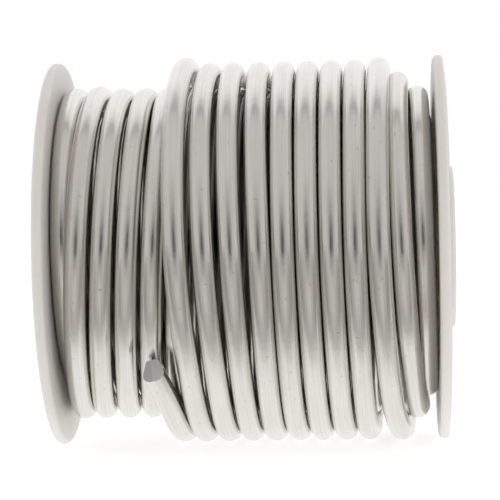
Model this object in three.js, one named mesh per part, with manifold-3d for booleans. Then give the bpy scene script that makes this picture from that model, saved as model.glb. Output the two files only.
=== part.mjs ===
// A spool of heavy solid solder wire.
// Two moulded flanges plug into a core tube, and one long wire is wound on the tube in five layers.
// Frame: millimetres, +X along the spool's axis, +Z up, origin at the middle of the bore.
// The spool lies on its rims, and the wire's free end is at the front (-Y), low down.

import * as THREE from "three";
import { mergeVertices } from "three/addons/utils/BufferGeometryUtils.js";
import Module from "manifold-3d";

// Driving dimensions
const FLANGE_RADIUS = 28.5;
const FLANGE_THICKNESS = 1.55;
const INNER_WIDTH = 55.0; // between the flanges' inner faces
const RIM_ROUNDING = 0.4;
const BOSS_RADIUS = 12.0;
const BOSS_HEIGHT = 1.2; // the hub stands this proud of each flange
const BORE_RADIUS = 8.0; // takes a stand's spindle
const SPIGOT_LENGTH = 8.0; // part of a flange that plugs into the core tube
const SPIGOT_WALL = 0.9;
const CORE_INNER_RADIUS = 9.2;
const CORE_OUTER_RADIUS = 10.9;
const CLEARANCE = 0.3;

const LABEL_THICKNESS = 0.15;
const LABEL_INNER_RADIUS = 17.0;
const LABEL_OUTER_RADIUS = 26.5;
const LABEL_GAP = 0.02; // the layer of glue

const WIRE_DIAMETER = 3.175; // an eighth of an inch
const LAYER_RADII = [13.0, 16.3, 19.6, 22.9, 26.6]; // to the wire's centre line
const TURNS_PER_LAYER = 15;
const LAST_LAYER_TURNS = 10; // the last layer stops part of the way back
const LAST_LAYER_END_X = -10.0;
const WIRE_TO_FLANGE = 0.3;
const CLIMB_TURNS = 0.6; // the wire rides up onto the layer below in this much of a turn
const HOLD_TURNS = 0.25; // and stays beside the flange for this much

const START_HOLE_RADIUS = 2.0; // in the right flange, for the wire's first end; it nicks the hub
const START_HOLE_SETBACK = 5.5; // behind the place where the first layer begins
const START_HOLE_DEPTH = 2.5 * (FLANGE_THICKNESS + BOSS_HEIGHT);
const START_STRAIGHTNESS = 0.8;

const FREE_END_PIVOT_ANGLE = THREE.MathUtils.degToRad(-75);
const FREE_END_TIP_ANGLE = THREE.MathUtils.degToRad(-38);
const FREE_END_TIP_X = -12.8;
const PINCH_ANGLE = THREE.MathUtils.degToRad(38); // each side of the pinch-cut tip

const ROUND_SIDES = 32;
const INNER_STEPS_PER_TURN = 12;
const OUTER_STEPS_PER_TURN = 18;

// Worked-out places
const INNER_FACE_X = INNER_WIDTH / 2;
const OUTER_FACE_X = INNER_FACE_X + FLANGE_THICKNESS;
const HUB_END_X = OUTER_FACE_X + BOSS_HEIGHT;
const WIRE_RADIUS = WIRE_DIAMETER / 2;
const LAYER_END_X = INNER_FACE_X - WIRE_RADIUS - WIRE_TO_FLANGE;
const BOTTOM = -Math.PI / 2;
const TURN = 2 * Math.PI;

const moulded = () => new THREE.MeshStandardMaterial({ color: 0xe4e0db, roughness: 0.45, metalness: 0 });
const paper = () => new THREE.MeshStandardMaterial({ color: 0xcfd6dc, roughness: 0.85, metalness: 0 });
const solder = () => new THREE.MeshStandardMaterial({ color: 0xc4c3bd, roughness: 0.28, metalness: 1 });

const wasm = await Module();
wasm.setup();

function toManifold(geometry) {
  const bare = geometry.clone();
  bare.deleteAttribute("normal");
  bare.deleteAttribute("uv");
  const merged = mergeVertices(bare, 1e-4);
  return new wasm.Manifold(
    new wasm.Mesh({
      numProp: 3,
      vertProperties: new Float32Array(merged.attributes.position.array),
      triVerts: new Uint32Array(merged.index.array),
    })
  );
}

function toGeometry(solid) {
  const mesh = solid.getMesh();
  const geometry = new THREE.BufferGeometry();
  geometry.setAttribute("position", new THREE.BufferAttribute(mesh.vertProperties, 3));
  geometry.setIndex(new THREE.BufferAttribute(mesh.triVerts, 1));
  geometry.computeVertexNormals();
  return geometry;
}

// Turns a closed outline of [radius, x] pairs about the X axis.
// The flats touch the stated radii, and one flat faces straight down.
function turned(outline, sides = ROUND_SIDES) {
  const grow = 1 / Math.cos(Math.PI / sides);
  const points = outline.map(([radius, x]) => new THREE.Vector2(radius * grow, x));
  points.push(points[0].clone());
  const geometry = new THREE.LatheGeometry(points, sides, Math.PI / sides, TURN);
  return geometry.rotateZ(-Math.PI / 2);
}

// A place on a cylinder about X. Angle 0 faces the front, and a quarter turn on is the top.
function onCylinder(x, radius, angle) {
  return new THREE.Vector3(x, -radius * Math.cos(angle), radius * Math.sin(angle));
}

function startHolePlace(x) {
  return onCylinder(x, LAYER_RADII[0], BOTTOM - START_HOLE_SETBACK / LAYER_RADII[0]);
}

// A curve sampled evenly in its own parameter, so that the corners of all layers line up.
class EvenPath extends THREE.Curve {
  constructor(pointAt) {
    super();
    this.pointAt = pointAt;
  }

  getPoint(t, target = new THREE.Vector3()) {
    return target.copy(this.pointAt(t));
  }

  getUtoTmapping(u) {
    return u;
  }
}

function wireAlong(path, steps, sides) {
  const section = [];
  for (let i = 0; i < sides; i += 1) {
    const angle = (TURN * (i + 0.5)) / sides;
    section.push(new THREE.Vector2(WIRE_RADIUS * Math.cos(angle), WIRE_RADIUS * Math.sin(angle)));
  }
  return new THREE.ExtrudeGeometry(new THREE.Shape(section), { steps, extrudePath: path });
}

// Flanges, core tube and labels

function flangeGeometry() {
  const spigotRadius = BORE_RADIUS + SPIGOT_WALL;
  return turned([
    [BORE_RADIUS, INNER_FACE_X - SPIGOT_LENGTH],
    [spigotRadius, INNER_FACE_X - SPIGOT_LENGTH],
    [spigotRadius, INNER_FACE_X],
    [FLANGE_RADIUS - RIM_ROUNDING, INNER_FACE_X],
    [FLANGE_RADIUS, INNER_FACE_X + RIM_ROUNDING],
    [FLANGE_RADIUS, OUTER_FACE_X - RIM_ROUNDING],
    [FLANGE_RADIUS - RIM_ROUNDING, OUTER_FACE_X],
    [BOSS_RADIUS, OUTER_FACE_X],
    [BOSS_RADIUS, HUB_END_X - RIM_ROUNDING],
    [BOSS_RADIUS - RIM_ROUNDING, HUB_END_X],
    [BORE_RADIUS + RIM_ROUNDING, HUB_END_X],
    [BORE_RADIUS, HUB_END_X - RIM_ROUNDING],
  ]);
}

function leftFlange() {
  return flangeGeometry().rotateZ(Math.PI);
}

function rightFlange() {
  const drill = new THREE.CylinderGeometry(START_HOLE_RADIUS, START_HOLE_RADIUS, START_HOLE_DEPTH, 16);
  drill.rotateZ(-Math.PI / 2);
  const hole = startHolePlace(OUTER_FACE_X);
  drill.translate(hole.x, hole.y, hole.z);
  return toGeometry(toManifold(flangeGeometry()).subtract(toManifold(drill)));
}

function coreTube() {
  const endX = INNER_FACE_X - CLEARANCE;
  return turned([
    [CORE_INNER_RADIUS, -endX],
    [CORE_OUTER_RADIUS, -endX],
    [CORE_OUTER_RADIUS, endX],
    [CORE_INNER_RADIUS, endX],
  ]);
}

function labelGeometry(side) {
  const glued = OUTER_FACE_X + LABEL_GAP;
  const faces = [side * glued, side * (glued + LABEL_THICKNESS)].sort((a, b) => a - b);
  return turned([
    [LABEL_INNER_RADIUS, faces[0]],
    [LABEL_OUTER_RADIUS, faces[0]],
    [LABEL_OUTER_RADIUS, faces[1]],
    [LABEL_INNER_RADIUS, faces[1]],
  ]);
}

// The wire: every layer starts and ends at the bottom, and the wire always runs up the front.

// Height above the layer below, as the wire rides up beside the flange.
function climb(layer, turns) {
  const radius = LAYER_RADII[layer];
  if (layer === 0) {
    return radius;
  }
  const below = LAYER_RADII[layer - 1];
  const risen = Math.sin((Math.min(1, turns / CLIMB_TURNS) * Math.PI) / 2);
  return below + (radius - below) * risen;
}

// Where the wire's centre line is, this many turns into a layer.
function woundPoint(layer, turns) {
  const isLast = layer === LAYER_RADII.length - 1;
  const fromSide = layer % 2 === 0 ? 1 : -1;
  const startX = fromSide * LAYER_END_X;
  const endX = isLast ? LAST_LAYER_END_X : -startX;
  const layerTurns = isLast ? LAST_LAYER_TURNS : TURNS_PER_LAYER;
  const held = layer === 0 ? 0 : HOLD_TURNS;
  const travelled = Math.max(0, turns - held) / (layerTurns - held);
  const x = startX + (endX - startX) * travelled;
  return onCylinder(x, climb(layer, turns), BOTTOM + TURN * turns);
}

function layerGeometry(layer, fromTurn, toTurn, stepsPerTurn, sides) {
  const path = new EvenPath((t) => woundPoint(layer, THREE.MathUtils.lerp(fromTurn, toTurn, t)));
  return wireAlong(path, Math.round((toTurn - fromTurn) * stepsPerTurn), sides);
}

// Turns that a length along a layer takes up.
function turnsFor(length, layer) {
  return length / (TURN * LAYER_RADII[layer]);
}

function fullLayer(layer, sides) {
  const cut = turnsFor(CLEARANCE / 2, layer);
  return layerGeometry(layer, cut, TURNS_PER_LAYER - cut, INNER_STEPS_PER_TURN, sides);
}

// The wire's first end comes in through the right flange and bends round onto the core.
function wireStart() {
  const begin = woundPoint(0, 0);
  const along = woundPoint(0, 0.01).sub(begin).normalize();
  const end = begin.addScaledVector(along, -CLEARANCE / 2);
  const mouth = startHolePlace(OUTER_FACE_X);
  const corner = startHolePlace(LAYER_END_X);
  const curve = new THREE.CubicBezierCurve3(
    mouth,
    mouth.clone().lerp(corner, START_STRAIGHTNESS),
    end.clone().lerp(corner, START_STRAIGHTNESS),
    end
  );
  return wireAlong(curve, 8, 8);
}

// The free end turns about its root, so its inner end is a ball there.
const lastLayer = LAYER_RADII.length - 1;
const pivotTurn = LAST_LAYER_TURNS + (FREE_END_PIVOT_ANGLE - BOTTOM) / TURN;
const pivot = woundPoint(lastLayer, pivotTurn);

function lastLayerGeometry() {
  const end = pivotTurn - turnsFor(WIRE_RADIUS + CLEARANCE, lastLayer);
  return layerGeometry(lastLayer, turnsFor(CLEARANCE / 2, lastLayer), end, OUTER_STEPS_PER_TURN, 8);
}

function freeEnd() {
  const radius = LAYER_RADII[lastLayer];
  const pointAt = (t) =>
    onCylinder(
      THREE.MathUtils.lerp(pivot.x, FREE_END_TIP_X, t),
      radius,
      THREE.MathUtils.lerp(FREE_END_PIVOT_ANGLE, FREE_END_TIP_ANGLE, t)
    );
  const tail = toManifold(wireAlong(new EvenPath(pointAt), 5, 12));
  const ball = new THREE.SphereGeometry(WIRE_RADIUS, 12, 8).translate(pivot.x, pivot.y, pivot.z);
  let solid = tail.add(toManifold(ball));

  // Cutters close on the wire from both sides and leave a blunt chisel edge.
  const tip = pointAt(1);
  const direction = tip.clone().sub(pointAt(0.9)).normalize();
  const across = new THREE.Vector3(1, 0, 0);
  for (const side of [1, -1]) {
    const size = 4 * WIRE_DIAMETER;
    const jaw = new THREE.BoxGeometry(size, size, size).translate(0, size / 2, 0);
    const face = direction.clone().multiplyScalar(Math.cos(PINCH_ANGLE));
    face.addScaledVector(across, side * Math.sin(PINCH_ANGLE)).normalize();
    jaw.applyQuaternion(new THREE.Quaternion().setFromUnitVectors(new THREE.Vector3(0, 1, 0), face));
    const edge = tip.clone().addScaledVector(direction, -WIRE_RADIUS / 3);
    jaw.translate(edge.x, edge.y, edge.z);
    solid = solid.subtract(toManifold(jaw));
  }
  return toGeometry(solid);
}

const spool = new THREE.Group();

function add(name, geometry, material) {
  const mesh = new THREE.Mesh(geometry, material);
  mesh.name = name;
  spool.add(mesh);
}

add("left_flange", leftFlange(), moulded());
add("right_flange", rightFlange(), moulded());
add("core_tube", coreTube(), moulded());
add("left_label", labelGeometry(-1), paper());
add("right_label", labelGeometry(1), paper());
add("wire_start", wireStart(), solder());
add("wire_layer_1", fullLayer(0, 5), solder());
add("wire_layer_2", fullLayer(1, 5), solder());
add("wire_layer_3", fullLayer(2, 5), solder());
add("wire_layer_4", fullLayer(3, 6), solder());
add("wire_layer_5", lastLayerGeometry(), solder());
add("wire_free_end", freeEnd(), solder());

export default spool;
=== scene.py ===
"""Looks for a spool of heavy solder wire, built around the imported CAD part."""

import math
from contextlib import contextmanager

import bmesh
import bpy
import numpy as np
from mathutils import Matrix, Vector


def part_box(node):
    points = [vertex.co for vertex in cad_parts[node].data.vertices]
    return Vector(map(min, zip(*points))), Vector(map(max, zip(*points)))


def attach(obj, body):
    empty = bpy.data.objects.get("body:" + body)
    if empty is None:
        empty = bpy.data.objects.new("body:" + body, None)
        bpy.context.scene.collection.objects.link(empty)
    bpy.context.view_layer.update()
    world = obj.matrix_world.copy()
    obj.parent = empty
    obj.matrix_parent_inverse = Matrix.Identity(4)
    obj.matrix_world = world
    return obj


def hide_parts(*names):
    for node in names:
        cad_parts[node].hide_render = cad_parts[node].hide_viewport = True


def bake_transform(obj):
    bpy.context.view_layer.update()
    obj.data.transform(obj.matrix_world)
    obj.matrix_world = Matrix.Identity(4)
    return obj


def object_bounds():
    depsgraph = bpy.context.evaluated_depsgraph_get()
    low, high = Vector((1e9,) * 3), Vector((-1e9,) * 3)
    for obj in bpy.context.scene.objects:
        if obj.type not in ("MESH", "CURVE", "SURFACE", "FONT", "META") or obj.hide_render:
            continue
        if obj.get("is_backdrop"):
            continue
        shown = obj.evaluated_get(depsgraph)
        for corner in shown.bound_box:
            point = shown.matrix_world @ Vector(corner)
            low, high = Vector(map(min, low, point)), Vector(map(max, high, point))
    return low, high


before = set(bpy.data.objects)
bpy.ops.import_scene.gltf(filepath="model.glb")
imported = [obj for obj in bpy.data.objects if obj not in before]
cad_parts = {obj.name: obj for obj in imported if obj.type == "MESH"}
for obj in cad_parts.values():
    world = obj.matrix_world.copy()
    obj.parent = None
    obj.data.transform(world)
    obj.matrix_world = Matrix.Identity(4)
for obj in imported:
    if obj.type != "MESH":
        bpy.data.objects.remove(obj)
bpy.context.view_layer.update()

MM = 0.001
TURN = 2 * math.pi
BOTTOM = -TURN / 4

# Every size below is in millimetres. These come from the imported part.
FLANGE_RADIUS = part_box("right_flange")[1].z / MM
HUB_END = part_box("right_flange")[1].x / MM
CORE_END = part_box("core_tube")[1].x / MM

# Sizes of the spool that the frame doesn't name
CLEARANCE = 0.3
FLANGE_THICKNESS = 1.5
INNER_FACE = CORE_END + CLEARANCE
OUTER_FACE = INNER_FACE + FLANGE_THICKNESS
BORE_RADIUS = 8.0
BOSS_RADIUS = 12.0
SPIGOT_RADIUS = 8.9
SPIGOT_LENGTH = 8.0
CORE_RADII = (9.2, 10.9)
LABEL_RADII = (17.0, 26.5)
LABEL_GAP = 0.02
LABEL_TOP = 0.15
FIRST_LAYER_RADIUS = 13.0
START_HOLE_RADIUS = 2.0
START_HOLE_ANGLE = BOTTOM - 5.5 / FIRST_LAYER_RADIUS

# The wire. Turns are counted from the bottom of the spool.
WIRE_RADIUS = 1.65
LAYER_RADII = (FIRST_LAYER_RADIUS, 16.3, 19.6, 22.9, 26.6)
END_X = 25.6  # the wire's centre line where it lies against a flange
OFF_CENTRE = 0.2  # the pack hangs this far below the spool's axis
RISE_TURNS = 0.6  # how long the second layer takes to climb onto the first
SEAM_TURN = 9.8  # where the loose end starts, hidden behind the foot of the pack
TIP_TURN = 10.15
SPARE_TURNS = 0.02  # drawn past the tip, and cut away
CUT_REACH = 7.0  # the cutter's jaws reach no further than this from the tip

# The camera, at the photograph's angle
CAMERA_AZIMUTH, CAMERA_ELEVATION, CAMERA_ROLL = (math.radians(v) for v in (3.19, 2.0, -1.16))
CAMERA_DISTANCE = 350.0
CAMERA_TARGET = Vector((-0.14, 0, 0.05))
CAMERA_LENS = 168.3

FLOOR_REACH = 3.0  # metres

# Edges that fold by more degrees than these are drawn sharp
PLASTIC_FOLD = 35
LABEL_FOLD = 50
WIRE_FOLD = 40


# Mesh helpers


def mesh_object(name, vertices, faces):
    mesh = bpy.data.meshes.new(name)
    mesh.from_pydata([tuple(v) for v in vertices], [], faces)
    mesh.validate()
    mesh.polygons.foreach_set("use_smooth", [True] * len(mesh.polygons))
    thing = bpy.data.objects.new(name, mesh)
    bpy.context.scene.collection.objects.link(thing)
    return thing


@contextmanager
def edited(thing):
    """Opens the thing's mesh for editing, and writes it back afterwards."""
    solid = bmesh.new()
    solid.from_mesh(thing.data)
    yield solid
    solid.to_mesh(thing.data)
    solid.free()


def sharpen(thing, degrees):
    """Marks the edges that fold by more than this as sharp, so that flat faces shade flat."""
    limit = math.radians(degrees)
    with edited(thing) as solid:
        for edge in solid.edges:
            edge.smooth = len(edge.link_faces) == 2 and edge.calc_face_angle(0.0) < limit


def face_outwards(thing):
    with edited(thing) as solid:
        bmesh.ops.recalc_face_normals(solid, faces=solid.faces)


def on_cylinder(x, radius, angle):
    """A place on a cylinder about X. Angle 0 faces the front, and a quarter turn on is the top."""
    return np.stack([x + 0 * angle, -radius * np.cos(angle), radius * np.sin(angle)], -1)


def rounded(outline, radii, steps=4):
    """The closed outline with each corner rounded by its own radius."""
    points = []
    count = len(outline)
    for i, (corner, radius) in enumerate(zip(outline, radii)):
        corner = np.array(corner, float)
        if radius == 0:
            points.append(corner)
            continue
        before = np.array(outline[i - 1], float) - corner
        after = np.array(outline[(i + 1) % count], float) - corner
        start = corner + before / np.linalg.norm(before) * radius
        end = corner + after / np.linalg.norm(after) * radius
        for k in range(steps + 1):
            t = k / steps
            points.append(start * (1 - t) ** 2 + corner * 2 * t * (1 - t) + end * t**2)
    return points


def band(ring, next_ring, sides):
    """The faces between two rings of vertices."""
    a, b = ring * sides, next_ring * sides
    return [(a + k, a + (k + 1) % sides, b + (k + 1) % sides, b + k) for k in range(sides)]


def turned(name, outline, segments=192):
    """A solid of revolution about X from a closed outline of (radius, x) points."""
    angles = np.arange(segments) * TURN / segments
    rings = [on_cylinder(x, radius, angles) * MM for radius, x in outline]
    count = len(outline)
    faces = []
    for i in range(count):
        faces += band(i, (i + 1) % count, segments)
    thing = mesh_object(name, np.concatenate(rings), faces)
    face_outwards(thing)
    return thing


def carve(thing, cutter):
    """Takes the cutter out of the thing, for good."""
    modifier = thing.modifiers.new("carve", "BOOLEAN")
    modifier.operation = "DIFFERENCE"
    modifier.solver = "EXACT"
    modifier.object = cutter
    bpy.context.view_layer.update()
    evaluated = thing.evaluated_get(bpy.context.evaluated_depsgraph_get())
    carved = bpy.data.meshes.new_from_object(evaluated)
    thing.modifiers.clear()
    thing.data = carved
    bpy.data.objects.remove(cutter)


# Wire paths: a smooth curve through knots of (turn, x, radius), laid along each layer


def smooth_curve(knots, at):
    """A cubic through rows of (position, values), with slopes taken from the neighbours."""
    knots = np.array(knots, float)
    place, value = knots[:, 0], knots[:, 1:]
    slope = np.gradient(value, place, axis=0)
    i = np.clip(np.searchsorted(place, at, side="right") - 1, 0, len(place) - 2)
    width = (place[i + 1] - place[i])[:, None]
    t = (at - place[i])[:, None] / width
    return (
        value[i] * (2 * t**3 - 3 * t**2 + 1)
        + value[i + 1] * (3 * t**2 - 2 * t**3)
        + slope[i] * width * (t**3 - 2 * t**2 + t)
        + slope[i + 1] * width * (t**3 - t**2)
    )


def regular(first_turn, last_turn, first_x, last_x, radius):
    """Knots every quarter turn of an even helix."""
    count = round((last_turn - first_turn) * 4)
    turns = np.linspace(first_turn, last_turn, count + 1)
    across = np.linspace(first_x, last_x, count + 1)
    return [(turn, x, radius) for turn, x in zip(turns, across)]


def across_front(turn, foot, front, top, radius, low, high, lift):
    """A turn's knots from its foot, up the front, to its top. Low shifts the wire sideways half
    way between the foot and the front, and high does so between the front and the top. Lift
    raises the wire off the layer below towards its top."""
    bow = 0.07
    return [
        (turn, foot, radius),
        (turn + 0.125, (foot + front) / 2 + low - bow, radius),
        (turn + 0.25, front, radius + lift / 3),
        (turn + 0.375, (front + top) / 2 + high - bow, radius + lift * 0.7),
        (turn + 0.5, top, radius + lift),
    ]


def layer_1():
    return regular(0, 15, END_X, -END_X, LAYER_RADII[0])


def layer_2():
    """For half a turn the wire rides up beside the left flange, then it winds back evenly."""
    below, radius = LAYER_RADII[:2]
    knots = []
    for turn in (0, 0.125, 0.25, 0.375, 0.5):
        risen = math.sin(min(1, turn / RISE_TURNS) * TURN / 4)
        x = -(END_X - 3.4 * max(0, turn - 0.25))
        knots.append((turn, x, below + (radius - below) * risen))
    return knots + regular(0.75, 15, -END_X + 1.7, END_X, radius)


def layer_3():
    """The third layer leaves room beside the right flange, and the fourth drops into it."""
    radius = LAYER_RADII[2]
    start = [
        (0, 25.6, 16.3),
        (0.125, 25.6, 17.3),
        (0.25, 25.6, 18.25),
        (0.375, 25.6, 18.85),
        (0.5, 25.5, 19.2),
        (0.625, 24.6, 19.5),
        (0.75, 22.3, radius),
        (0.875, 19.9, radius),
    ]
    end = [
        (13.25, -20.9, radius),
        (13.5, -22.4, radius),
        (13.75, -24.3, radius),
        (14, -25.3, radius),
    ]
    return start + regular(1, 13, 19.0, -20.0, radius) + end


def layer_4():
    """Counted back from the join with the last layer, so turn 0 is its end. It climbs beside the
    left flange, winds across in even steps, and meets the last layer beside the right flange."""
    radius = LAYER_RADII[3]
    knots = [
        (-15, -25.3, 19.6),
        (-14.87, -25.5, 19.7),
        (-14.75, -25.65, 20.4),
        (-14.67, -25.7, 21.3),
        (-14.6, -25.7, 22.3),
        (-14.5, -25.65, 23.3),
        (-14.25, -25.5, radius),
    ]
    pitch = 3.56
    for n in range(11):
        start = -25.2 + pitch * n
        in_view = n < 4  # the last layer covers the others
        foot = start - 0.4 if in_view and n > 0 else start
        front = start + 1.75 + 0.04 * min(4, n)
        top = start + max(2.1, 3.2 - 0.08 * n - 0.2 * max(0, n - 1)) + (0.17 if n > 1 else 0.0)
        low, high = (0.05 * n, 0.15 + 0.1 * n) if in_view else (0.0, 0.1)
        lift = 0.6 if n == 0 else 0.2
        knots += across_front(n - 14, foot, front, top, radius, low, high, lift)
        knots.append((n - 13.25, (start + top + pitch) / 2, radius))
    return knots + [
        (-3, 13.9, radius),
        (-2.75, 15.65, radius),
        (-2.5, 16.2, radius),
        (-2.25, 16.9, radius),
        (-2, 17.5, radius),
        (-1.75, 19.05, radius),
        (-1.5, 19.6, radius),
        (-1.25, 20.8, 22.95),
        (-1.19, 22.2, 22.75),
        (-1.125, 23.9, 21.7),
        (-1.06, 25.3, 20.8),
        (-1, 25.8, 20.3),
        (-0.875, 25.65, 21.4),
        (-0.75, 25.3, 22.5),
        (-0.625, 25.15, 22.75),
        (-0.5, 25.15, 22.65),
        (-0.25, 25.0, 23.8),
        (-0.125, 24.85, 24.1),
        (0, 24.75, 23.3),
    ]


def layer_5():
    """The last layer starts in the groove beside the right flange and winds back on top."""
    radius = LAYER_RADII[4]
    knots = [
        (0, 24.75, 23.3),
        (0.125, 23.5, 24.5),
        (0.19, 22.8, 25.2),
        (0.25, 22.3, 25.3),
        (0.375, 21.95, 25.0),
        (0.5, 22.3, 24.75),
        (0.75, 22.4, 26.3),
        (1, 22.4, radius + 0.1),
        (1.125, 20.45, radius + 0.2),
        (1.25, 19.2, radius + 0.2),
        (1.375, 19.2, radius + 0.3),
        (1.5, 19.6, radius + 0.3),
        (1.75, 18.6, radius + 0.3),
    ]
    for n in range(2, 10):
        # The turns wander left towards the loose end, and the last one stands proud on top.
        late = 0.1 if n > 6 else 0.0
        foot = 17.5 - 3.48 * (n - 2)
        front = 15.9 - 3.34 * (n - 2) - 0.5 * max(0, n - 6) - late
        top = 16.05 - 3.51 * (n - 2) - 0.2 * min(2, max(0, n - 5)) - late
        swing = 0.12 * min(3, max(0, n - 5))
        lift = 0.9 if n == 9 else 0.0
        knots += across_front(n, foot, front, top, radius, swing, -swing, lift)
        knots.append((n + 0.75, (top + foot - 3.47) / 2, radius + lift / 3))
    return knots + free_end_knots()


def free_end_knots():
    """The loose end swings left from the foot of the pack, over a turn of the layer below."""
    radius = LAYER_RADII[4]
    return [
        (10, -9.95, radius - 0.05),
        (10.03, -10.2, radius - 0.05),
        (10.07, -10.6, radius),
        (10.105, -11.25, radius),
        (10.13, -12.1, radius),
        (TIP_TURN, -13.1, radius),
        (TIP_TURN + SPARE_TURNS, -13.9, radius),
    ]


def wire_centre(knots, turns):
    """Places along the middle of the wire, in millimetres."""
    x, radius = smooth_curve(knots, turns).T
    centre = on_cylinder(x, radius, BOTTOM + TURN * turns)
    centre[:, 2] -= OFF_CENTRE
    return centre


def wire_mesh(name, knots, first, last, per_turn, sides):
    """A round wire along the knots, from one turn to another, with flat ends."""
    turns = np.linspace(first, last, round((last - first) * per_turn) + 1)
    return tube(name, wire_centre(knots, turns), sides)


def tube(name, centre, sides):
    """A closed length of wire along a line of points, given in millimetres.
    Each vertex keeps its place along and around the wire, for the material."""
    along = np.gradient(centre, axis=0)
    along /= np.linalg.norm(along, axis=1)[:, None]
    out = centre * [0, 1, 1]
    out -= along * np.sum(out * along, 1)[:, None]
    out /= np.linalg.norm(out, axis=1)[:, None]
    side = np.cross(along, out)
    around = np.arange(sides) * TURN / sides
    ring = (
        out[:, None] * np.cos(around)[None, :, None]
        + side[:, None] * np.sin(around)[None, :, None]
    )
    vertices = (centre[:, None] + WIRE_RADIUS * ring).reshape(-1, 3) * MM
    steps = len(centre)
    faces = []
    for i in range(steps - 1):
        faces += band(i, i + 1, sides)
    faces.append(tuple(range(sides)))
    faces.append(tuple((steps - 1) * sides + k for k in reversed(range(sides))))
    thing = mesh_object(name, vertices, faces)
    face_outwards(thing)

    length = np.concatenate([[0], np.cumsum(np.linalg.norm(np.diff(centre, axis=0), axis=1))])
    place = np.zeros((steps, sides, 3))
    place[:, :, 0] = np.cos(around)
    place[:, :, 1] = np.sin(around)
    place[:, :, 2] = length[:, None]
    attribute = thing.data.attributes.new("wire_place", "FLOAT_VECTOR", "POINT")
    attribute.data.foreach_set("vector", place.astype(np.float32).ravel())
    return thing


# Materials


class Graph:
    """Short calls for building a node tree."""

    def __init__(self, tree):
        self.tree = tree
        tree.nodes.clear()

    def node(self, kind, inputs=None, **settings):
        made = self.tree.nodes.new(kind)
        for key, value in settings.items():
            setattr(made, key, value)
        for key, value in (inputs or {}).items():
            if isinstance(value, bpy.types.NodeSocket):
                self.tree.links.new(value, made.inputs[key])
            else:
                made.inputs[key].default_value = value
        return made

    def math(self, operation, a, b=0.0, c=0.0):
        return self.node("ShaderNodeMath", {0: a, 1: b, 2: c}, operation=operation).outputs[0]

    def ramp(self, factor, stops, interpolation="LINEAR"):
        """Stops are (position, grey or colour)."""
        made = self.node("ShaderNodeValToRGB", {0: factor})
        ramp = made.color_ramp
        ramp.interpolation = interpolation
        while len(ramp.elements) < len(stops):
            ramp.elements.new(0.5)
        for element, (position, value) in zip(ramp.elements, stops):
            colour = value if isinstance(value, tuple) else (value, value, value)
            element.position = position
            element.color = (*colour, 1)
        return made.outputs[0]

    def noise(self, vector, scale, detail, roughness=0.5):
        inputs = {"Vector": vector, "Scale": scale, "Detail": detail, "Roughness": roughness}
        return self.node("ShaderNodeTexNoise", inputs).outputs[0]

    def mix(self, factor, a, b, blend="MIX"):
        made = self.node("ShaderNodeMix", data_type="RGBA", blend_type=blend)
        for socket, value in ((0, factor), (6, a), (7, b)):
            if isinstance(value, bpy.types.NodeSocket):
                self.tree.links.new(value, made.inputs[socket])
            else:
                made.inputs[socket].default_value = value if socket == 0 else (*value, 1)
        return made.outputs[2]

    def bump(self, height, strength, distance, normal=None):
        inputs = {"Height": height, "Strength": strength, "Distance": distance}
        if normal is not None:
            inputs["Normal"] = normal
        return self.node("ShaderNodeBump", inputs).outputs[0]

    def surface(self, inputs):
        shader = self.node("ShaderNodeBsdfPrincipled", inputs)
        self.node("ShaderNodeOutputMaterial", {0: shader.outputs[0]})


def new_material(name):
    material = bpy.data.materials.new(name)
    material.use_nodes = True
    return material, Graph(material.node_tree)


def moulded_plastic():
    """Off-white plastic: a little light passes in, with faint clouding, grain and scuffs."""
    material, g = new_material("moulded_plastic")
    place = g.node("ShaderNodeTexCoord").outputs["Object"]
    cloud = g.noise(place, 90, 4)
    grain = g.noise(place, 2600, 3)
    patches = g.ramp(cloud, [(0.35, 0.0), (0.65, 1.0)])
    colour = g.mix(patches, (0.79, 0.75, 0.715), (0.83, 0.79, 0.76))
    streaks = g.node("ShaderNodeMapping", {"Vector": place, "Scale": (900, 120, 120)}).outputs[0]
    scuffs = g.ramp(g.noise(streaks, 1.0, 2), [(0.62, 0.0), (0.74, 1.0)])
    normal = g.bump(grain, 0.12, 0.0001)
    normal = g.bump(cloud, 0.25, 0.0004, normal)
    g.surface(
        {
            "Base Color": colour,
            "Roughness": g.math("MULTIPLY_ADD", scuffs, 0.14, 0.42),
            "Subsurface Weight": 0.6,
            "Subsurface Radius": (1.0, 0.9, 0.65),
            "Subsurface Scale": 0.003,
            "Normal": normal,
        }
    )
    return material


def label_paper():
    """A blank printed label: a coloured band between two thin rings, with no lettering."""
    material, g = new_material("label_paper")
    place = g.node("ShaderNodeTexCoord").outputs["Object"]
    xyz = g.node("ShaderNodeSeparateXYZ", {0: place})
    across = g.node("ShaderNodeCombineXYZ", {1: xyz.outputs[1], 2: xyz.outputs[2]}).outputs[0]
    radius = g.node("ShaderNodeVectorMath", {0: across}, operation="LENGTH").outputs["Value"]
    inner, outer = LABEL_RADII
    share = g.math("DIVIDE", g.math("SUBTRACT", radius, inner * MM), (outer - inner) * MM)
    paper, blue, line = (0.78, 0.79, 0.78), (0.10, 0.22, 0.36), (0.30, 0.38, 0.46)
    stops = [
        (0.0, paper),
        (0.10, line),
        (0.125, paper),
        (0.30, blue),
        (0.70, paper),
        (0.875, line),
        (0.90, paper),
    ]
    printed = g.ramp(share, stops, "CONSTANT")
    fibre = g.noise(place, 5200, 4)
    colour = g.mix(g.math("MULTIPLY", fibre, 0.18), printed, (0.9, 0.89, 0.86))
    g.surface({"Base Color": colour, "Roughness": 0.62, "Normal": g.bump(fibre, 0.15, 0.00008)})
    return material


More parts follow.
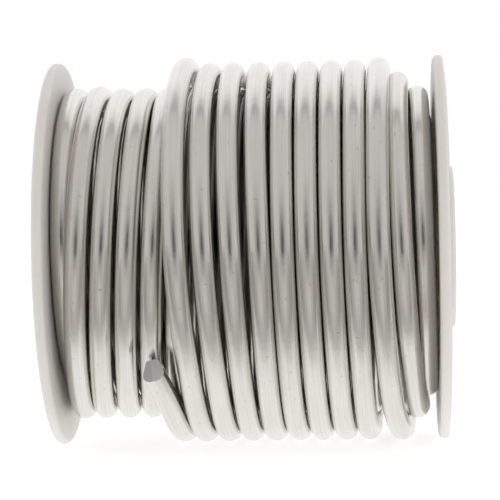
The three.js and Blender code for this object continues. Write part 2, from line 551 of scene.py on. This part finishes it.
def solder_wire():
    """Bright drawn tin: a soft mirror with lengthwise die lines, faint dents and small pits.
    The noise runs in millimetres along the wire, and in wire radii around it."""
    material, g = new_material("solder_wire")
    place = g.node("ShaderNodeAttribute", attribute_name="wire_place").outputs["Vector"]

    def stretched(around, along):
        scale = (around, around, along)
        return g.node("ShaderNodeMapping", {"Vector": place, "Scale": scale}).outputs[0]

    lines = g.noise(stretched(9, 0.06), 1.0, 4, 0.6)
    broad = g.noise(stretched(1.3, 0.05), 1.0, 2)
    dents = g.noise(stretched(0.9, 0.55), 1.0, 2)
    pits = g.ramp(g.noise(stretched(2.2, 1.9), 1.0, 1), [(0.70, 0.0), (0.76, 1.0)])
    tarnish = g.ramp(g.noise(stretched(0.8, 0.12), 1.0, 4), [(0.40, 0.0), (0.72, 1.0)])
    colour = g.mix(tarnish, (0.86, 0.845, 0.815), (0.80, 0.78, 0.74))
    colour = g.mix(g.ramp(lines, [(0.3, 0.0), (0.7, 0.5)]), colour, (0.66, 0.65, 0.62))
    colour = g.mix(g.math("MULTIPLY", pits, 0.35), colour, (0.45, 0.44, 0.41))
    rough = g.math("ADD", g.math("MULTIPLY", lines, 0.12), g.math("MULTIPLY", tarnish, 0.08))
    rough = g.math("ADD", rough, 0.12)
    height = g.math("ADD", g.math("MULTIPLY", lines, 0.25), g.math("MULTIPLY", broad, 0.6))
    normal = g.bump(height, 0.3, 0.00018)
    normal = g.bump(dents, 0.1, 0.0003, normal)
    normal = g.bump(g.math("SUBTRACT", 1.0, pits), 0.2, 0.0001, normal)
    g.surface({"Base Color": colour, "Metallic": 1.0, "Roughness": rough, "Normal": normal})
    return material


def cut_metal():
    """The wire's pinch-cut face, dull and finely torn. The half of the cut that faces left has
    painted shade: a darker copy of its colour.
    """
    material, g = new_material("cut_metal")
    place = g.node("ShaderNodeTexCoord").outputs["Object"]
    streaks = g.node("ShaderNodeMapping", {"Vector": place, "Scale": (9000, 1500, 1500)}).outputs[0]
    torn = g.noise(streaks, 1.0, 4)
    normal = g.node("ShaderNodeNewGeometry").outputs["True Normal"]
    facing = g.node("ShaderNodeSeparateXYZ", {0: normal}).outputs[0]
    # Painted shade: where the cut's normal points left it takes the darker colour below, elsewhere
    # the lighter one.
    painted_shade_split = g.ramp(g.math("MULTIPLY_ADD", facing, 0.5, 0.5), [(0.30, 0.0), (0.36, 1.0)])
    dark = g.mix(torn, (0.47, 0.44, 0.43), (0.59, 0.555, 0.545))
    light = g.mix(torn, (0.58, 0.575, 0.56), (0.70, 0.695, 0.68))
    colour = g.mix(painted_shade_split, dark, light)
    g.surface(
        {
            "Base Color": colour,
            "Metallic": 0.3,
            "Roughness": 0.6,
            "Normal": g.bump(torn, 0.5, 0.00012),
        }
    )
    return material


PLASTIC = moulded_plastic()
PAPER = label_paper()
SOLDER = solder_wire()
CUT = cut_metal()


def finish_piece(thing, material, node):
    """Gives a piece of the spool body its material, and lets it stand for its CAD node."""
    thing.data.materials.append(material)
    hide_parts(node)
    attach(thing, "spool")


# The plastic spool


def flange_outline(side):
    """The flange with the hub ring on its outside and the spigot on its inside, from corners of
    (radius, x, rounding)."""
    corners = [
        (BORE_RADIUS, INNER_FACE - SPIGOT_LENGTH, 0.15),
        (SPIGOT_RADIUS, INNER_FACE - SPIGOT_LENGTH, 0.25),
        (SPIGOT_RADIUS, INNER_FACE, 0.0),
        (FLANGE_RADIUS, INNER_FACE, 0.8),
        (FLANGE_RADIUS, OUTER_FACE, 0.6),
        (BOSS_RADIUS, OUTER_FACE, 0.25),
        (BOSS_RADIUS, HUB_END, 0.4),
        (BORE_RADIUS, HUB_END, 0.4),
    ]
    outline = rounded([(r, x) for r, x, _ in corners], [c[2] for c in corners])
    return [(r, side * x) for r, x in outline]


def start_hole_centre():
    return on_cylinder(OUTER_FACE, FIRST_LAYER_RADIUS, np.array(START_HOLE_ANGLE))


def drill():
    """A round cutter through the right flange where the wire's first end comes in."""
    cutter = mesh_object("drill", [], [])
    radius = START_HOLE_RADIUS * MM
    depth = 8 * MM  # half of it passes through the flange
    with edited(cutter) as solid:
        bmesh.ops.create_cone(
            solid, segments=48, radius1=radius, radius2=radius, depth=depth, cap_ends=True
        )
    centre = Vector(start_hole_centre() * MM)
    cutter.matrix_world = Matrix.Translation(centre) @ Matrix.Rotation(TURN / 4, 4, "Y")
    return cutter


def make_flanges():
    left = turned("left_flange_moulding", flange_outline(-1))
    right = turned("right_flange_moulding", flange_outline(1))
    carve(right, drill())
    for thing, node in ((left, "left_flange"), (right, "right_flange")):
        sharpen(thing, PLASTIC_FOLD)
        finish_piece(thing, PLASTIC, node)


def make_core():
    inner, outer = CORE_RADII
    corners = [(inner, -CORE_END), (outer, -CORE_END), (outer, CORE_END), (inner, CORE_END)]
    core = turned("core_tube_moulding", rounded(corners, [0.2] * 4), segments=96)
    sharpen(core, PLASTIC_FOLD)
    finish_piece(core, PLASTIC, "core_tube")


def make_labels():
    inner, outer = LABEL_RADII
    for side, node in ((-1, "left_label"), (1, "right_label")):
        low, high = sorted((side * (OUTER_FACE + LABEL_GAP), side * (OUTER_FACE + LABEL_TOP)))
        corners = [(inner, low), (outer, low), (outer, high), (inner, high)]
        label = turned(node + "_paper", rounded(corners, [0.03] * 4, steps=2))
        sharpen(label, LABEL_FOLD)
        finish_piece(label, PAPER, node)


# The wire


def make_wire_start():
    """The first end comes in through the flange and bends round onto the core."""
    mouth = start_hole_centre()
    join = wire_centre(layer_1(), np.array([0.0]))[0]
    corner = np.array([END_X, mouth[1], mouth[2]])
    tightness = 0.8
    a, b = (end + tightness * (corner - end) for end in (mouth, join))
    t = np.linspace(0, 1, 40)[:, None]
    centre = mouth * (1 - t) ** 3 + a * 3 * t * (1 - t) ** 2 + b * 3 * t**2 * (1 - t) + join * t**3
    start = tube("wire_first_end", centre, sides=24)
    sharpen(start, WIRE_FOLD)
    finish_piece(start, SOLDER, "wire_start")


def make_layers():
    """Five layers of wire. The mesh is finer in the layers that show."""
    layers = [  # knots, first and last turn, steps per turn, sides
        (layer_1(), 0, 15, 48, 12),
        (layer_2(), 0, 15, 48, 12),
        (layer_3(), 0, 14, 64, 16),
        (layer_4(), -15, 0, 96, 24),
        (layer_5(), 0, SEAM_TURN, 112, 28),
    ]
    for number, (knots, first, last, per_turn, sides) in enumerate(layers, 1):
        node = f"wire_layer_{number}"
        coil = wire_mesh(node + "_coil", knots, first, last, per_turn, sides)
        sharpen(coil, WIRE_FOLD)
        finish_piece(coil, SOLDER, node)


def pinch_planes(along, out):
    """The cuts that side cutters leave: (point from the tip in millimetres, direction, material).
    A broad face in two facets comes first. Then the slope behind it, which meets it in a narrow
    ridge, and the squeezed shoulders at both ends of the ridge."""
    across = along.cross(out).normalized()

    def place(forward, outward, sideways):
        return along * forward + out * outward + across * sideways

    wire_side, cut_side = 0, 1
    lean = math.tan(math.radians(24))  # of the cut face, away from a square cut
    ridge_out = -1.385
    ridge = (-ridge_out * lean, ridge_out)
    planes = [
        (place(0, 0, -0.1), place(1, lean, 0.24), cut_side),
        (place(0, 0, -0.1), place(1, lean, -0.28), cut_side),
        (place(*ridge, 0), place(1, -1.1, 0), wire_side),
    ]
    for side in (-1, 1):
        slope = place(-0.95, 2.13, 0.69 * side)
        back = place(-1, -0.1, 0.6 * side)
        planes.append((place(*ridge, 0.775 * side), slope.cross(back) * side, wire_side))
    return planes


def pinch_cut(thing, tip, along, out):
    """Cuts the wire's end. Only the mesh near the tip is cut, as the planes meet the coil too."""
    with edited(thing) as solid:
        for point, normal, material in pinch_planes(along, out):
            if normal.dot(along) < 0:
                normal = -normal
            near = {v for v in solid.verts if (v.co - tip).length < CUT_REACH * MM}
            parts = list(near)
            parts += [e for e in solid.edges if near.issuperset(e.verts)]
            parts += [f for f in solid.faces if near.issuperset(f.verts)]
            cut = bmesh.ops.bisect_plane(
                solid,
                geom=parts,
                plane_co=tip + point * MM,
                plane_no=normal.normalized(),
                clear_outer=True,
            )
            rim = [e for e in cut["geom_cut"] if isinstance(e, bmesh.types.BMEdge)]
            filled = bmesh.ops.edgeloop_fill(solid, edges=rim)
            for face in filled["faces"]:
                face.material_index = material
                face.smooth = False
        bmesh.ops.recalc_face_normals(solid, faces=solid.faces)


def make_free_end():
    """The last third of a turn, from the seam to the pinch-cut tip."""
    knots = layer_5()
    last = TIP_TURN + SPARE_TURNS
    thing = wire_mesh("wire_loose_end", knots, SEAM_TURN, last, per_turn=260, sides=28)
    before_tip, tip = wire_centre(knots, np.array([TIP_TURN - 0.01, TIP_TURN]))
    along = Vector(tip - before_tip).normalized()
    out = Vector((0, tip[1], tip[2])).normalized()
    thing.data.materials.append(SOLDER)
    thing.data.materials.append(CUT)
    pinch_cut(thing, Vector(tip * MM), along, out)
    sharpen(thing, WIRE_FOLD)
    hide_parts("wire_free_end")
    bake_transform(thing)


# Stage, light and camera


def turn_ramp(g, share, stops):
    """A ramp over angles about X, in degrees: 0 is the front, 90 the top and -90 the floor."""
    return g.ramp(share, [((degrees + 180) / 360, value) for degrees, value in stops])


def turn_share(g, up, toward):
    """Where a ray heads about X, as turn_ramp's factor, from its upward and frontward parts."""
    return g.math("MULTIPLY_ADD", g.math("ARCTAN2", up, toward), 1 / TURN, 0.5)


def make_floor(height):
    """A plain pale floor. What the object's surfaces receive from it is a glow that depends on the
    ray's direction, as from a lit sweep, and the camera sees it almost white."""
    left, right = -FLOOR_REACH, FLOOR_REACH
    corners = [(left, left), (right, left), (right, right), (left, right)]
    floor = mesh_object("floor", [(x, y, height) for x, y in corners], [(0, 1, 2, 3)])
    material, g = new_material("floor")
    path = g.node("ShaderNodeLightPath")
    incoming = g.node("ShaderNodeNewGeometry").outputs["Incoming"]
    x, y, z = g.node("ShaderNodeSeparateXYZ", {0: incoming}).outputs
    share = turn_share(g, g.math("MULTIPLY", z, -1.0), y)
    aside = g.math("ABSOLUTE", x)
    middle = [
        (-180, 0.98),
        (-90, 0.94),
        (-74, 0.89),
        (-68, 0.78),
        (-60, 0.61),
        (-53, 0.47),
        (-44, 0.50),
        (-33, 0.60),
        (-20, 0.60),
        (-13, 0.52),
        (-8, 0.40),
        (0, 0.36),
    ]
    beside = [
        (-180, 0.98),
        (-90, 0.94),
        (-74, 0.87),
        (-68, 0.74),
        (-60, 0.56),
        (-53, 0.43),
        (-44, 0.41),
        (-33, 0.47),
        (-20, 0.48),
        (-13, 0.52),
        (0, 0.55),
    ]
    warm = (1.03, 0.99, 0.965)
    tint = turn_ramp(g, share, [(-75, (1.0, 1.0, 0.975)), (-60, warm), (0, warm)])
    to_beside = g.ramp(aside, [(0.2, 0.0), (0.45, 1.0)])
    falloff = g.ramp(aside, [(0.6, 1.0), (0.8, 0.74), (1.0, 0.65)])
    glow = g.mix(to_beside, turn_ramp(g, share, middle), turn_ramp(g, share, beside))
    glow = g.mix(1.0, glow, falloff, "MULTIPLY")
    glow = g.mix(1.0, glow, tint, "MULTIPLY")
    glow = g.mix(path.outputs["Is Diffuse Ray"], glow, (1.12, 1.12, 1.12))
    bounce = g.node("ShaderNodeEmission", {"Color": glow, "Strength": 1.0}).outputs[0]
    sweep = g.node("ShaderNodeBsdfDiffuse", {"Color": (0.45, 0.45, 0.448, 1)}).outputs[0]
    lift = g.node("ShaderNodeEmission", {"Color": (1, 1, 1, 1), "Strength": 0.8}).outputs[0]
    seen = g.node("ShaderNodeAddShader", {0: sweep, 1: lift}).outputs[0]
    camera_ray = path.outputs["Is Camera Ray"]
    chosen = g.node("ShaderNodeMixShader", {0: camera_ray, 1: bounce, 2: seen}).outputs[0]
    g.node("ShaderNodeOutputMaterial", {0: chosen})
    floor.data.materials.append(material)
    floor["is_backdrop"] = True


def make_world():
    """A light tent. Reflections show it bright above and behind, with a dark place for the camera
    and a dim bar overhead. Matt surfaces get a smoother light, and the camera sees plain white."""
    world = bpy.data.worlds.new("tent")
    bpy.context.scene.world = world
    world.use_nodes = True
    g = Graph(world.node_tree)
    path = g.node("ShaderNodeLightPath")
    ray = g.node("ShaderNodeTexCoord").outputs["Generated"]
    x, y, z = g.node("ShaderNodeSeparateXYZ", {0: ray}).outputs
    share = turn_share(g, z, g.math("MULTIPLY", y, -1.0))
    aside = g.math("ABSOLUTE", x)

    middle = [
        (-180, 0.8),
        (-60, 0.5),
        (0, 0.62),
        (102, 0.62),
        (114, 0.9),
        (127, 1.0),
        (180, 1.0),
    ]
    sides = [(-180, 0.5), (-60, 0.5), (0, 0.62), (100, 0.62), (125, 0.5), (180, 0.45)]
    to_sides = g.ramp(aside, [(0.42, 0.0), (0.6, 0.3), (0.7, 0.7), (0.82, 1.0)])
    lit = g.mix(to_sides, turn_ramp(g, share, middle), turn_ramp(g, share, sides))

    camera_way = tuple(Vector((0.06, -1, 0.09)).normalized())
    near_camera = g.node("ShaderNodeVectorMath", {0: ray, 1: camera_way}, operation="DOT_PRODUCT")
    shade = [
        (0.57, 1.0),
        (0.77, 0.92),
        (0.87, 0.8),
        (0.94, 0.6),
        (0.974, 0.38),
        (0.988, 0.14),
        (1.0, 0.1),
    ]
    lit = g.mix(1.0, lit, g.ramp(near_camera.outputs["Value"], shade), "MULTIPLY")

    bar = turn_ramp(g, share, [(91, 1.0), (96, 0.62), (99, 0.62), (104, 1.0)])
    bar_reach = g.ramp(aside, [(0.3, 1.0), (0.5, 0.0)])
    lit = g.mix(bar_reach, lit, g.mix(1.0, lit, bar, "MULTIPLY"))

    tints = [(0, (1.025, 0.99, 0.97)), (60, (1.01, 0.995, 0.98)), (110, (1.015, 0.995, 1.0))]
    lit = g.mix(1.0, lit, turn_ramp(g, share, tints), "MULTIPLY")

    soft = g.ramp(aside, [(0.2, 0.55), (0.6, 0.85), (0.9, 1.4)])
    fall = turn_ramp(g, share, [(0, 0.5), (60, 0.8), (110, 1.05)])
    soft = g.mix(1.0, soft, fall, "MULTIPLY")

    seen = g.mix(path.outputs["Is Diffuse Ray"], lit, soft)
    seen = g.mix(path.outputs["Is Camera Ray"], seen, (1.0, 1.0, 1.0))
    background = g.node("ShaderNodeBackground", {0: seen, 1: 1.0})
    g.node("ShaderNodeOutputWorld", {0: background.outputs[0]})


def soft_light(name, place, size, watts):
    """A square lamp, in metres, that faces the object and doesn't show in its reflections."""
    data = bpy.data.lights.new(name, "AREA")
    data.shape = "SQUARE"
    data.size = size
    data.energy = watts
    lamp = bpy.data.objects.new(name, data)
    lamp.location = place
    lamp.rotation_euler = (-Vector(place)).to_track_quat("-Z", "Y").to_euler()
    lamp.visible_glossy = False
    bpy.context.scene.collection.objects.link(lamp)


def make_camera():
    azimuth, elevation, roll = CAMERA_AZIMUTH, CAMERA_ELEVATION, CAMERA_ROLL
    flat = math.cos(elevation)
    back = Vector((math.sin(azimuth) * flat, -math.cos(azimuth) * flat, math.sin(elevation)))
    level = Vector((0, 0, 1)).cross(back).normalized()
    upright = back.cross(level)
    right = level * math.cos(roll) + upright * math.sin(roll)
    up = upright * math.cos(roll) - level * math.sin(roll)
    data = bpy.data.cameras.new("camera")
    data.sensor_width = 36
    data.lens = CAMERA_LENS
    camera = bpy.data.objects.new("camera", data)
    rotation = Matrix((right, up, back)).transposed().to_4x4()
    place = (CAMERA_TARGET + back * CAMERA_DISTANCE) * MM
    camera.matrix_world = Matrix.Translation(place) @ rotation
    bpy.context.scene.collection.objects.link(camera)
    bpy.context.scene.camera = camera


make_flanges()
make_core()
make_labels()
make_wire_start()
make_layers()
make_free_end()
make_floor(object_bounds()[0][2])
make_world()
soft_light("key", place=(0.1, -0.35, 0.55), size=0.5, watts=0.3)
make_camera()
bpy.context.scene.view_settings.view_transform = "Standard"
